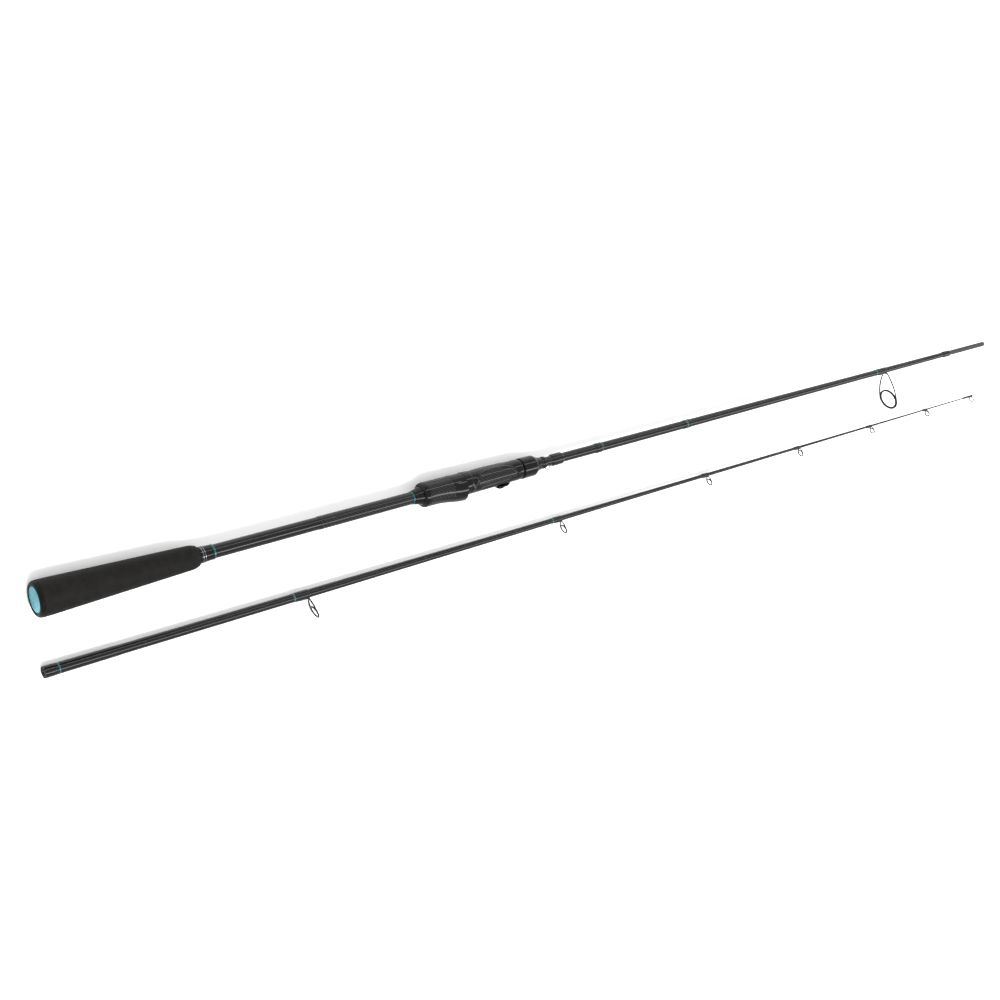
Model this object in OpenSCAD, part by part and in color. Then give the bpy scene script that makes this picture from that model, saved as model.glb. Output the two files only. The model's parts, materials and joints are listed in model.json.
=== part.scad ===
// Two-piece spinning rod, laid flat with its sections side by side.
// +X runs from the butt to the tip, +Z is up, and the line guides point along -Y.

/* [Butt section] */
// Length of the butt section, ferrule included
butt_len = 1236; // [1200:1:1300]
// Length of the male ferrule that the tip section slides over
ferrule_len = 66; // [50:1:80]
// Diameter of the male ferrule
ferrule_d = 5.8; // [5:0.1:7]
// Diameter of the foam grip at the butt
grip_d_rear = 31.4; // [26:0.1:36]
// Diameter of the foam grip at its front end
grip_d_front = 21.6; // [18:0.1:26]
// Length of the foam grip
grip_len = 146.8; // [120:0.1:200]

/* [Reel seat] */
// Where the reel seat starts, from the butt end
seat_start = 379; // [340:1:420]
// Diameter of the rear barrel
barrel_d = 24; // [20:0.1:28]
// Diameter of the grip body between the hoods
body_d = 22.4; // [20:0.1:24]
// Height of the flat bed that carries the reel foot, from the rod's axis
bed_h = 9.4; // [8:0.1:10]
// Width of the pocket that takes the reel foot
foot_w = 13; // [11:0.1:15]
// Travel of the sliding hood towards the butt
hood_back = 6; // [2:1:8]
// Travel of the sliding hood towards the tip
hood_forward = 12; // [8:1:14]

/* [Tip section] */
// Length of the tip section, tip-top included
tip_len = 1234.5; // [1225:0.5:1250]
// How far the tip section's butt end lies ahead of the butt cap
tip_x = 4.0; // [0:0.1:20]
// Distance between the axes of the two sections
section_gap = 70.2; // [68:0.1:90]
// Height of the tip section's axis above the surface
tip_h = 7; // [7:0.1:10]
// Diameter of the socket for the male ferrule
socket_d = 5.9; // [5.2:0.1:7.2]
// Depth of the socket
socket_depth = 68; // [60:1:90]

/* [Hidden] */
$fn = 48;

// Colours
foam_black = [0.07, 0.068, 0.062];
gloss_black = [0.03, 0.03, 0.032];
graphite = [0.10, 0.10, 0.11];
carbon = [0.13, 0.13, 0.13];
turquoise = [0.16, 0.46, 0.50];
silver = [0.75, 0.76, 0.78];
ground_grey = [0.30, 0.30, 0.31];
thread_black = [0.02, 0.02, 0.022];

// Fits
seat_gap = 0.04;    // glued pieces, on the radius
slide_gap = 0.3;    // moving pieces, each side
thread_gap = 0.08;  // lock nut on its tube, on the radius

// Outer diameter of each blank at [distance from its butt end, diameter]
ferrule_start = butt_len - ferrule_len;
butt_taper = [[0, 13.4], [375, 11.3], [540, 9.7], [660, 9.3], [ferrule_start - 12, ferrule_d + 0.4],
              [ferrule_start - 3, ferrule_d + 0.24], [ferrule_start, ferrule_d]];
tip_taper = [[0, 9.3], [230, 8.2], [600, 5.1], [1000, 2.7], [1225, 1.5]];
blank_wall = 1.1;
butt_r0 = grip_d_rear / 2;

// Guides: [leg start, ring centre height, ring outer radius, ring inner radius, wire radius, lean,
//          wrap length, foot length, half the spread of the legs at the foot].
// The first is on the butt section, the others on the tip section.
guides = [
    [1050.5, 37.8, 12.3, 10.2, 0.6, 16, 17.5, 15, 3.0],
    [255.1, 20.2, 6.1, 4.8, 0.55, 20, 15.5, 13, 0.45],
    [557, 12.8, 4.7, 3.6, 0.45, 18, 12, 10, 0.36],
    [767.5, 9.6, 4.1, 3.0, 0.4, 16, 11, 9, 0.32],
    [915.2, 8.0, 3.8, 2.8, 0.38, 14, 10.5, 8.5, 0.3],
    [1041.1, 6.8, 3.6, 2.6, 0.36, 14, 10, 8, 0.29],
    [1144.8, 5.9, 3.5, 2.5, 0.36, 12, 9.5, 7.5, 0.29]];
frame_wall = 0.35;     // part of the ring's radius that is the metal frame
tip_top_ring_r = 3.6;
tip_top_bore_r = 2.5;

// Reel seat stations, from the butt end
barrel_end = seat_start + 36;
lip_x = seat_start + 48.6;
bed_end = seat_start + 119;
nut_start = bed_end + 0.3;
nut_end = seat_start + 134.1;
seat_end = seat_start + 138.1;
pocket_depth = 9;
pocket_h = 4.4;
hood_x = seat_start + 90.4;
hood_len = 15;
stem_r = 8.2;
nut_r = 10.5;
runner_w = 5;
runner_top = 7.9;
runner_floor = 6.5;
stem_start = 6.5;   // where the hood's stem stands, from the hood's rear edge
stem_len = 4;
runner_len = seat_end - 0.5 - hood_forward - hood_x - stem_start;
seat_bore_r = 5.9;

// Trim and wrap stations, from the butt end
check_end = grip_len + 12.5;
sleeve_start = 267.1;
seat_ring_start = seat_start - 10.9;
seat_collar_start = seat_start - 8.8;
mid_wrap_start = 595.6;
mid_wrap_end = 602.8;
label_start = 719.1;
label_ring = [722.8, 725.0];
label_end = 728.8;
ferrule_wrap_start = 1155;

// Linear interpolation in a table of [x, value]
function taper(table, x, i = 0) =
    (i >= len(table) - 2 || x <= table[i + 1][0])
        ? table[i][1] + (table[i + 1][1] - table[i][1]) * (x - table[i][0]) / (table[i + 1][0] - table[i][0])
        : taper(table, x, i + 1);
function butt_r(x) = x >= ferrule_start ? ferrule_d / 2 : taper(butt_taper, x) / 2;
function tip_r(x) = taper(tip_taper, x) / 2;

// A profile of [x, radius] points turned round the rod's axis
module turned(points) {
    rotate([0, 90, 0])
        rotate_extrude($fn = 64)
            polygon([for (p = points) [p[1], p[0]]]);
}

// A ring between two stations, from r_in to r_out at each end
module sleeve(x0, x1, in0, in1, out0, out1) {
    turned([[x0, in0], [x0, out0], [x1, out1], [x1, in1]]);
}

// A ring with softened outer edges
module band(x0, x1, in_r, out_r, edge = 0.3) {
    turned([[x0, in_r], [x0, out_r - edge], [x0 + edge, out_r],
            [x1 - edge, out_r], [x1, out_r - edge], [x1, in_r]]);
}

module on_butt() { translate([0, 0, butt_r0]) children(); }
module on_tip() { translate([tip_x, -section_gap, tip_h]) children(); }

// ---------------------------------------------------------------- grip

module eva_grip() {
    front_r = grip_d_front / 2;
    color(foam_black) on_butt()
        turned([[3, butt_r(3) + seat_gap], [3, 15.4], [4.2, butt_r0], [12, butt_r0 - 0.1],
                [grip_len - 16, front_r + 0.3], [grip_len - 8, front_r], [grip_len - 4.6, front_r - 0.5],
                [grip_len - 1.5, front_r - 1.5], [grip_len - 0.5, front_r - 2.6],
                [grip_len - 0.5, butt_r(grip_len) + seat_gap]]);
}

module butt_cap() {
    color(foam_black) on_butt()
        turned([[0.9, 0], [0.9, 11.4], [0, 11.8], [0, 13.2], [0.5, 14.4], [1.6, 15.3], [2.9, 15.6], [2.9, 0]]);
}

module butt_cap_disc() {
    color(turquoise) on_butt()
        turned([[0.1, 0], [0.1, 10.7], [0.3, 11.25], [0.86, 11.25], [0.86, 0]]);
}

// Two grooves near its rear end hold the thin metal rings
module grip_check() {
    x0 = grip_len;
    color(gloss_black) on_butt()
        turned([[x0, butt_r(x0) + seat_gap], [x0, 7.5], [check_ring_x[0], 7.4], [check_ring_x[0], check_groove_r],
                [check_ring_x[0] + check_ring_w, check_groove_r], [check_ring_x[0] + check_ring_w, 7.4],
                [check_ring_x[1], 7.35], [check_ring_x[1], check_groove_r],
                [check_ring_x[1] + check_ring_w, check_groove_r], [check_ring_x[1] + check_ring_w, 7.3],
                [x0 + 8, 7.0], [check_end, 6.7], [check_end, butt_r(check_end) + seat_gap]]);
}

check_ring_x = [grip_len + 1.8, grip_len + 3.8];
check_ring_w = 0.7;
check_groove_r = 7.05;

module grip_check_rings() {
    color(silver) on_butt()
        for (x = check_ring_x)
            band(x + 0.03, x + check_ring_w - 0.03, check_groove_r + 0.02, 7.5, 0.1);
}

module grip_accent_ring() {
    x0 = check_end + 0.15;
    color(turquoise) on_butt() band(x0, x0 + 1.8, butt_r(x0) + seat_gap, 6.95, 0.4);
}

// ---------------------------------------------------------------- butt blank

module butt_blank() {
    r_end = ferrule_d / 2;
    color(graphite) on_butt()
        turned(concat(
            [for (p = butt_taper) if (p[0] < ferrule_start) [p[0] + (p[0] == 0 ? 3 : 0), p[1] / 2]],
            [[ferrule_start, r_end], [butt_len - 0.6, r_end],
             [butt_len - 0.3, r_end - 0.3], [butt_len - 0.3, 1.7], [ferrule_start - 20, 1.7]],
            [[660, taper(butt_taper, 660) / 2 - blank_wall], [3, butt_taper[0][1] / 2 - blank_wall]]));
}

module ferrule_plug() {
    color(gloss_black) on_butt()
        turned([[butt_len - 9, 0], [butt_len - 9, 1.6], [butt_len - 0.25, 1.6], [butt_len - 0.25, 2.4],
                [butt_len, 2.2], [butt_len, 0]]);
}

module carbon_weave_sleeve() {
    x0 = sleeve_start;
    x1 = seat_ring_start - 0.1;
    color(carbon) on_butt()
        sleeve(x0, x1, butt_r(x0) + seat_gap, butt_r(x1) + seat_gap, butt_r(x0) + 0.28, butt_r(x1) + 0.28);
}

module seat_accent_ring() {
    color(turquoise) on_butt()
        band(seat_ring_start, seat_collar_start - 0.1, butt_r(seat_ring_start) + seat_gap, 6.4, 0.4);
}

module seat_rear_collar() {
    x0 = seat_collar_start;
    x1 = seat_start - 0.1;
    bore = butt_r(x0) + seat_gap;
    color(gloss_black) on_butt()
        turned([[x0, bore], [x0, 6.5], [x0 + 4, 7.4], [x1, 9.0], [x1, bore]]);
}

// ---------------------------------------------------------------- reel seat

module seat_outline() {
    // Rear barrel, waist, grip body and the tube that carries the lock nut
    turned([[seat_start, seat_bore_r], [seat_start, 9.6], [seat_start + 1, 11.2], [seat_start + 3, barrel_d / 2],
            [barrel_end, barrel_d / 2 - 0.3], [barrel_end + 4, barrel_d / 2 - 0.5], [lip_x, body_d / 2],
            [bed_end - 4, body_d / 2 - 0.3], [bed_end - 1, body_d / 2 - 0.8], [bed_end, body_d / 2 - 1.8],
            [bed_end, stem_r], [seat_end - 0.2, stem_r], [seat_end - 0.2, seat_bore_r]]);
}

module fixed_hood_flare() {
    hull() {
        translate([seat_start + 8, 0, 0]) rotate([0, 90, 0]) cylinder(r = 11.2, h = 1, $fn = 48);
        translate([lip_x - 3, -2.6, 0]) rotate([0, 90, 0]) cylinder(r = 13.2, h = 2, $fn = 48);
        translate([lip_x - 1, -2.6, 0]) rotate([0, 90, 0]) cylinder(r = 12.8, h = 1, $fn = 48);
    }
}

// The flat bed, cut from the mouth of the fixed hood to the lock nut
module bed_cut() {
    translate([lip_x, -bed_h - 10, -15]) cube([bed_end - lip_x + 1, 10, 30]);
}

module foot_pocket() {
    translate([lip_x - pocket_depth, -bed_h - 2.2, -foot_w / 2]) cube([pocket_depth + 1, 2.2, foot_w]);
    translate([lip_x - pocket_depth, -bed_h - pocket_h, -foot_w / 2 + 1.9])
        cube([pocket_depth + 1, pocket_h, foot_w - 3.8]);
}

module runner_slot() {
    translate([hood_x - hood_back - 1, -15, -runner_w / 2 - slide_gap])
        cube([seat_end + 1 - hood_x + hood_back, 15 - runner_floor + slide_gap, runner_w + 2 * slide_gap]);
}

// A rounded rectangle between two stations
module panel_outline(x0, x1, half_w, round_r) {
    translate([(x0 + x1) / 2, 0])
        offset(r = round_r, $fn = 24) square([x1 - x0 - 2 * round_r, 2 * (half_w - round_r)], center = true);
}

// A straight lower edge under a shallow arc that meets it in a point at both ends
module eye_outline(x0, x1, half_w) {
    half_chord = (x1 - x0) / 2;
    rise = 2 * half_w;
    big_r = (half_chord * half_chord + rise * rise) / (2 * rise);
    intersection() {
        translate([(x0 + x1) / 2, half_w - big_r]) circle(r = big_r, $fn = 96);
        translate([x0, -half_w]) square([x1 - x0, rise + 1]);
    }
}

rear_panel = [seat_start + 5.6, seat_start + 34.2];
eye_panel = [seat_start + 61.8, seat_start + 107.5];
panel_turn = 28;  // the panels face away from the bed by this angle

// The panels are prisms through the seat's wall, one each side, mirrored
module panel_prism(side) {
    mirror([0, 0, side < 0 ? 1 : 0])
        rotate([-panel_turn, 0, 0]) linear_extrude(20) children();
}

module rear_panel_prism(side, extra = 0) {
    panel_prism(side)
        panel_outline(rear_panel[0] - extra, rear_panel[1] + extra, 9 + extra, 2.5);
}

module eye_panel_prism(side, extra = 0) {
    panel_prism(side)
        eye_outline(eye_panel[0] - extra, eye_panel[1] + extra, 5.2 + extra);
}

module reel_seat_body() {
    color(gloss_black) on_butt()
        difference() {
            union() {
                seat_outline();
                difference() {
                    fixed_hood_flare();
                    rotate([0, 90, 0]) cylinder(r = seat_bore_r + 1, h = 2000);
                }
            }
            bed_cut();
            foot_pocket();
            runner_slot();
            for (side = [-1, 1]) {
                intersection() {
                    rear_panel_prism(side, 0.05);
                    sleeve(rear_panel[0] - 1, rear_panel[1] + 1, 10.85, 10.85, 20, 20);
                }
                intersection() {
                    eye_panel_prism(side, 0.05);
                    sleeve(eye_panel[0] - 1, eye_panel[1] + 1, 10.1, 10.1, 20, 20);
                }
            }
        }
}

module rear_inlay(side) {
    color(carbon) on_butt()
        intersection() {
            rear_panel_prism(side);
            sleeve(rear_panel[0] - 1, rear_panel[1] + 1, 10.9, 10.9, barrel_d / 2 - 0.25, barrel_d / 2 - 0.35);
        }
}
module rear_inlay_upper() { rear_inlay(1); }
module rear_inlay_lower() { rear_inlay(-1); }

module side_inlay(side) {
    color(carbon) on_butt()
        intersection() {
            eye_panel_prism(side);
            sleeve(eye_panel[0] - 1, eye_panel[1] + 1, 10.15, 10.15, body_d / 2 - 0.3, body_d / 2 - 0.5);
        }
}
module side_inlay_upper() { side_inlay(1); }
module side_inlay_lower() { side_inlay(-1); }

// Arbors centre the seat on the tapered blank
module arbor(x0, x1) {
    color(ground_grey) on_butt()
        sleeve(x0, x1, butt_r(x0) + seat_gap, butt_r(x1) + seat_gap, seat_bore_r - seat_gap, seat_bore_r - seat_gap);
}
module rear_arbor() { arbor(seat_start + 4, seat_start + 40); }
module front_arbor() { arbor(seat_start + 86, seat_end - 6); }

// One cross-section of the hood: two round shoulders side by side
module hood_slice(x, y, half_gap, r, h) {
    for (side = [-1, 1])
        translate([x, y, side * half_gap]) rotate([0, 90, 0]) cylinder(r = r, h = h, $fn = 32);
}

// The hood rides on the bed; its runner lies in the slot and reaches under the lock nut
module sliding_hood() {
    floor_y = -bed_h - slide_gap;
    color(gloss_black) on_butt()
        union() {
            difference() {
                hull() {
                    hood_slice(hood_x, floor_y, 3.6, 3.7, 1);
                    hood_slice(hood_x + 1, floor_y, 3.6, 3.9, 4);
                    hood_slice(hood_x + hood_len - 1, floor_y, 2.6, 2.2, 1);
                }
                // Its underside is flat, and the reel foot's pocket opens towards the fixed hood
                translate([hood_x - 1, floor_y, -20]) cube([hood_len + 2, 20, 40]);
                translate([hood_x - 1, floor_y - 2.9, -5.2]) cube([7, 3, 10.4]);
            }
            translate([hood_x + stem_start, floor_y - 0.5, -runner_w / 2])
                cube([stem_len, -floor_y + 0.5 - runner_top + 0.5, runner_w]);
            translate([hood_x + stem_start, -runner_top, -runner_w / 2])
                cube([runner_len, runner_top - runner_floor, runner_w]);
        }
}

module lock_nut() {
    bore = stem_r + thread_gap;
    color(gloss_black) on_butt()
        turned([[nut_start, bore], [nut_start, nut_r - 0.6], [nut_start + 0.6, nut_r], [nut_end, nut_r - 0.1],
                [nut_end + 1, nut_r - 0.4], [seat_end - 0.9, 9.0], [seat_end - 0.4, 8.7], [seat_end - 0.4, bore]]);
}

module front_check() {
    x0 = seat_end;
    x1 = seat_end + 7.1;
    color(gloss_black) on_butt()
        turned([[x0, butt_r(x0) + seat_gap], [x0, 8.0], [x0 + 1.6, 7.5], [x1 - 1, 6.2], [x1, 5.9],
                [x1, butt_r(x1) + seat_gap]]);
}

// ---------------------------------------------------------------- wraps and hook keeper

// Thread under a coat of finish, thinning at both ends; its bore follows each bend of the blank's taper
module wrap_on(x0, x1, build) {
    end = min(2, (x1 - x0) / 4);
    bends = [for (p = butt_taper) if (p[0] > x0 && p[0] < x1) [p[0], p[1] / 2 + seat_gap]];
    turned(concat(
        [[x1, butt_r(x1) + seat_gap], [x1, butt_r(x1) + 0.15], [x1 - end, butt_r(x1 - end) + build],
         [x0 + end, butt_r(x0 + end) + build], [x0, butt_r(x0) + 0.15], [x0, butt_r(x0) + seat_gap]],
        bends));
}

keeper_x = seat_end + 17;
keeper_wire = 0.45;
keeper_r = 2.6;
keeper_foot = 4.8;
keeper_y = -butt_r(keeper_x) - keeper_wire - 0.15;
keeper_rise = 0.6;  // straight part of the loop above its feet

// The wire's two feet, which lie along the blank under the wrap
module keeper_foot_wire(side, grow = 0) {
    translate([keeper_x + side * (keeper_r - grow), keeper_y, 0])
        rotate([0, side * 90, 0]) cylinder(r = keeper_wire + grow, h = keeper_foot + 2 * grow, $fn = 24);
}

module keeper_rise_wire(side, grow = 0) {
    translate([keeper_x + side * keeper_r, keeper_y - keeper_rise, 0])
        rotate([-90, 0, 0]) cylinder(r = keeper_wire + grow, h = keeper_rise, $fn = 24);
}

module hook_keeper() {
    color(ground_grey) on_butt()
        union() {
            translate([keeper_x, keeper_y - keeper_rise, 0])
                rotate([0, 0, 180]) rotate_extrude(angle = 180, $fn = 48)
                    translate([keeper_r, 0]) circle(r = keeper_wire, $fn = 24);
            for (side = [-1, 1]) {
                keeper_rise_wire(side);
                keeper_foot_wire(side);
                translate([keeper_x + side * keeper_r, keeper_y, 0]) sphere(r = keeper_wire, $fn = 24);
            }
        }
}

// One wrap over each foot, stopping short of the loop
module keeper_wrap() {
    color(thread_black) on_butt() {
        difference() {
            wrap_on(seat_end + 7.2, keeper_x - keeper_r - 0.6, 1.25);
            keeper_foot_wire(-1, 0.05);
        }
        difference() {
            wrap_on(keeper_x + keeper_r + 0.6, seat_end + 35.5, 1.25);
            keeper_foot_wire(1, 0.05);
        }
    }
}

module mid_wrap() { color(thread_black) on_butt() wrap_on(mid_wrap_start, mid_wrap_end, 0.5); }
module mid_wrap_accent() {
    color(turquoise) on_butt() wrap_on(mid_wrap_end + 0.1, mid_wrap_end + 1.6, 0.45);
}

// Two black bands with a metallic ring between them
module label_wrap() {
    color(thread_black) on_butt() {
        wrap_on(label_start, label_ring[0] - 0.1, 0.35);
        wrap_on(label_ring[1] + 0.1, label_end, 0.35);
    }
}
module label_wrap_accent() { color(turquoise) on_butt() wrap_on(label_ring[0], label_ring[1], 0.4); }

module male_ferrule_wrap() {
    color(thread_black) on_butt() wrap_on(ferrule_wrap_start, ferrule_start - 0.7, 0.7);
}

// ---------------------------------------------------------------- tip section

module tip_blank() {
    end = 1233;
    core_end = 1080;
    color(graphite) on_tip()
        turned(concat(
            [for (p = tip_taper) if (p[0] < end) [p[0], p[1] / 2]],
            [[end, tip_r(end)], [end, 0], [core_end, 0], [core_end, 0.5], [1000, 0.65],
             [socket_depth + 2, 2.6], [socket_depth, socket_d / 2], [0, socket_d / 2]]));
}

// The wrap stops for the metallic ring and starts again behind it
female_ring = [12.2, 13.9];
female_wrap_end = 68.3;

module female_ferrule_wrap() {
    before = female_ring[0] - 0.1;
    after = female_ring[1] + 0.1;
    last = female_wrap_end;
    color(thread_black) on_tip() {
        turned([[0, tip_r(0) + seat_gap], [0, 5.2], [0.5, 5.35], [8, 5.3], [before, 5.05],
                [before, tip_r(before) + seat_gap]]);
        turned([[after, tip_r(after) + seat_gap], [after, 5.05], [last - 6, tip_r(last - 6) + 0.22],
                [last, tip_r(last) + 0.1], [last, tip_r(last) + seat_gap]]);
    }
}
module female_ferrule_accent() {
    color(turquoise) on_tip()
        band(female_ring[0], female_ring[1], tip_r(female_ring[0]) + seat_gap, 5.15, 0.25);
}

// ---------------------------------------------------------------- guides

function rod_r(i, x) = i == 0 ? butt_r(x) : tip_r(x);

module on_section(i) {
    if (i == 0) on_butt() children();
    else on_tip() children();
}

// Where a guide's foot meets its legs, and the distance from there to the ring's centre
function foot_y(i) = -rod_r(i, guides[i][0]) - guides[i][4] - 0.1;
function reach(i) = (guides[i][1] + foot_y(i)) / cos(guides[i][5]);

// Coordinates in the guide's leaning plane: X across it, Y away from the blank, Z along the line
module in_guide_plane(i) {
    g = guides[i];
    translate([g[0], foot_y(i), 0])
        rotate([0, 0, g[5]])
            rotate([180, -90, 0]) children();
}

// A leg is an arc that leaves the foot and runs tangent to the side of the ring
module leg(i, side) {
    g = guides[i];
    a = reach(i);
    b = g[2] - frame_wall + 0.08 + g[4] - g[8];
    bow = (a * a + b * b) / (2 * b);
    sweep = asin(a / bow);
    mirror([side < 0 ? 1 : 0, 0, 0])
        translate([g[8] + b - bow, a, 0])
            rotate([0, 0, -sweep]) rotate_extrude(angle = sweep, $fn = 96)
                translate([bow, 0]) circle(r = g[4], $fn = 16);
}

// Length of a guide ring along the line
function ring_land(i) = 0.8 + 0.1 * guides[i][2];

module frame_ring(i) {
    g = guides[i];
    h = ring_land(i) * 0.7;
    translate([0, reach(i), -h / 2])
        difference() {
            cylinder(r = g[2], h = h, $fn = 64);
            translate([0, 0, -1]) cylinder(r = g[2] - frame_wall, h = h + 2, $fn = 64);
        }
}

// The flat foot that the thread binds to the blank; depth carries it down into the blank for cutting
module foot_blade(i, grow = 0, depth = 0) {
    g = guides[i];
    half_w = g[4] * 0.9 + grow;
    low = rod_r(i, g[0] - g[7]) + 0.08;
    translate([g[0] - g[7] - grow, -low - g[4] * 0.7 - grow, -half_w])
        cube([g[7] + 2 * grow, g[4] * 0.7 + grow + depth, 2 * half_w]);
}

// Joins the foot to the two legs
module foot_knuckle(i) {
    g = guides[i];
    low = -rod_r(i, g[0] - g[7]) - 0.08;
    half_w = g[8] + g[4] * 0.7;
    translate([g[0] - g[4] * 1.5, low - g[4] * 2.1, -half_w]) cube([g[4] * 2.6, g[4] * 2.1, 2 * half_w]);
}

module guide_frame(i) {
    color(ground_grey) on_section(i)
        union() {
            in_guide_plane(i) leg(i, 1);
            in_guide_plane(i) leg(i, -1);
            in_guide_plane(i) frame_ring(i);
            foot_blade(i);
            foot_knuckle(i);
        }
}

module guide_ring(i) {
    g = guides[i];
    outer = g[2] - frame_wall - 0.02;
    h = ring_land(i) / 2;
    soft = min((outer - g[3]) * 0.3, 0.3);
    color(gloss_black) on_section(i)
        in_guide_plane(i) translate([0, reach(i), 0])
            rotate_extrude($fn = 96)
                polygon([[g[3], -h + soft], [g[3] + soft, -h], [outer - 0.1, -h], [outer, -h + 0.1],
                         [outer, h - 0.1], [outer - 0.1, h], [g[3] + soft, h], [g[3], h - soft]]);
}

module guide_wrap(i) {
    g = guides[i];
    x0 = g[0] - g[6];
    x1 = g[0] - g[4] * 1.5 - 0.05;
    over = g[4] + 0.28;
    toe = g[0] - g[7] - 0.5;
    color(thread_black) on_section(i)
        difference() {
            turned([[x0, rod_r(i, x0) + seat_gap], [x0, rod_r(i, x0) + 0.12], [toe, rod_r(i, toe) + over],
                    [x1 - 0.6, rod_r(i, x1) + over], [x1, rod_r(i, x1) + over * 0.8], [x1, rod_r(i, x1) + seat_gap]]);
            foot_blade(i, 0.03, 0.8);
        }
}

module guide_accent(i) {
    g = guides[i];
    x1 = g[0] - g[6] - 0.1;
    x0 = x1 - 1.9;
    color(turquoise) on_section(i)
        turned([[x0, rod_r(i, x0) + seat_gap], [x0, rod_r(i, x0) + 0.1], [x0 + 0.5, rod_r(i, x0) + 0.28],
                [x1 - 0.5, rod_r(i, x1) + 0.28], [x1, rod_r(i, x1) + 0.12], [x1, rod_r(i, x1) + seat_gap]]);
}

// ---------------------------------------------------------------- tip-top

tube_r = 1.35;
tube_x0 = 1222;
tube_x1 = tip_len;
top_y = -tip_top_ring_r - tube_r + 0.3;

module tip_top_tube() {
    color(ground_grey) on_tip()
        turned([[tube_x0, tip_r(tube_x0) + seat_gap], [tube_x0, tube_r - 0.1], [tube_x0 + 0.4, tube_r],
                [tube_x1 - 0.5, tube_r], [tube_x1, tube_r - 0.5], [tube_x1, 0], [1233.1, 0],
                [1233.1, tip_r(tube_x0) + seat_gap]]);
}

module in_top_plane() {
    translate([tube_x1 - 0.8, top_y, 0]) rotate([0, 0, 14]) rotate([180, -90, 0]) children();
}

module tip_top_frame() {
    color(ground_grey) on_tip()
        difference() {
            in_top_plane() translate([0, 0, -0.4]) cylinder(r = tip_top_ring_r, h = 0.8, $fn = 64);
            in_top_plane() translate([0, 0, -3]) cylinder(r = tip_top_ring_r - frame_wall, h = 6, $fn = 64);
            translate([tube_x0 - 1, 0, 0]) rotate([0, 90, 0]) cylinder(r = tube_r + 0.02, h = 20, $fn = 48);
        }
}

module tip_top_ring() {
    outer = tip_top_ring_r - frame_wall - 0.02;
    color(gloss_black) on_tip()
        in_top_plane() rotate_extrude($fn = 96)
            polygon([[tip_top_bore_r, -0.2], [tip_top_bore_r + 0.25, -0.5], [outer, -0.5], [outer, 0.5],
                     [tip_top_bore_r + 0.25, 0.5], [tip_top_bore_r, 0.2]]);
}

module tip_top_wrap() {
    color(thread_black) on_tip()
        turned([[1215, tip_r(1215) + seat_gap], [1215, tip_r(1215) + 0.12], [1216.5, 1.25], [1221.9, 1.3],
                [1221.9, tip_r(1221.9) + seat_gap]]);
}

eva_grip();
butt_cap();
butt_cap_disc();
grip_check();
grip_check_rings();
grip_accent_ring();
butt_blank();
ferrule_plug();
carbon_weave_sleeve();
seat_accent_ring();
seat_rear_collar();
reel_seat_body();
rear_inlay_upper();
rear_inlay_lower();
side_inlay_upper();
side_inlay_lower();
rear_arbor();
front_arbor();
sliding_hood();
lock_nut();
front_check();
keeper_wrap();
hook_keeper();
mid_wrap();
mid_wrap_accent();
label_wrap();
label_wrap_accent();
male_ferrule_wrap();
tip_blank();
female_ferrule_wrap();
female_ferrule_accent();
for (i = [0:6]) {
    guide_frame(i);
    guide_ring(i);
    guide_wrap(i);
}
for (i = [0:2])
    guide_accent(i);
tip_top_tube();
tip_top_frame();
tip_top_ring();
tip_top_wrap();
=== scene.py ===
"""Looks of the two-piece spinning rod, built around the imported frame.

Lengths are in millimetres and are multiplied by MM where they enter Blender.
Values in shaders, in the camera and in the lights are in metres.
"""

import json
import math

import bmesh
import bpy
import numpy as np
from mathutils import Matrix, Vector


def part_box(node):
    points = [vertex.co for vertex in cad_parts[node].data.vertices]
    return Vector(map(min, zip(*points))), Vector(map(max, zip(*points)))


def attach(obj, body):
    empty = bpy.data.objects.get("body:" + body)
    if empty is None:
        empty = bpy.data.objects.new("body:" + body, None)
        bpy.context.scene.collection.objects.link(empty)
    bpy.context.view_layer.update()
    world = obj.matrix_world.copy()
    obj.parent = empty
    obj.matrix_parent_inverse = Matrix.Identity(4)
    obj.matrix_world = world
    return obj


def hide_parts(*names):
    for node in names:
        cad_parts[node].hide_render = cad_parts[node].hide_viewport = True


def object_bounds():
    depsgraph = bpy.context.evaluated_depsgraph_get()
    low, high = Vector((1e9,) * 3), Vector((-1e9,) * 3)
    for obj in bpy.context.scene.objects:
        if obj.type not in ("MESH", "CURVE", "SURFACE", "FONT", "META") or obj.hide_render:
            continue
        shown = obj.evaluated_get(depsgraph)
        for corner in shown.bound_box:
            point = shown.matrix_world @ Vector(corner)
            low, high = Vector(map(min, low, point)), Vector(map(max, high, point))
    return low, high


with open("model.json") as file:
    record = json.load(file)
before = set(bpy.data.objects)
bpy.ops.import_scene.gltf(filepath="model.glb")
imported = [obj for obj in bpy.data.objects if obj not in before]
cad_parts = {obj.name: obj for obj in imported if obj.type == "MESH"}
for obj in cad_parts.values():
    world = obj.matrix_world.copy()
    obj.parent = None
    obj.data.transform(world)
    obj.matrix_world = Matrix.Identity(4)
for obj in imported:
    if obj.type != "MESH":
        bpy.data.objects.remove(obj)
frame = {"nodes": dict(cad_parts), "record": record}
cad_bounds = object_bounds()

MM = 0.001
BUTT = "butt_section"
TIP = "tip_section"
LATHE_PITCH = 0.0004    # metres from one fine turning line to the next
THREAD_PITCH = 0.00028  # metres from one turn of winding thread to the next


# ---------------------------------------------------------------- what the frame says


def node_box(node):
    """A CAD node's lowest and highest corners, in millimetres."""
    low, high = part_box(node)
    return Vector(low) / MM, Vector(high) / MM


def mount(name):
    """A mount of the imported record."""
    return next(m for m in frame["record"]["mounts"] if m["name"] == name)


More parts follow.
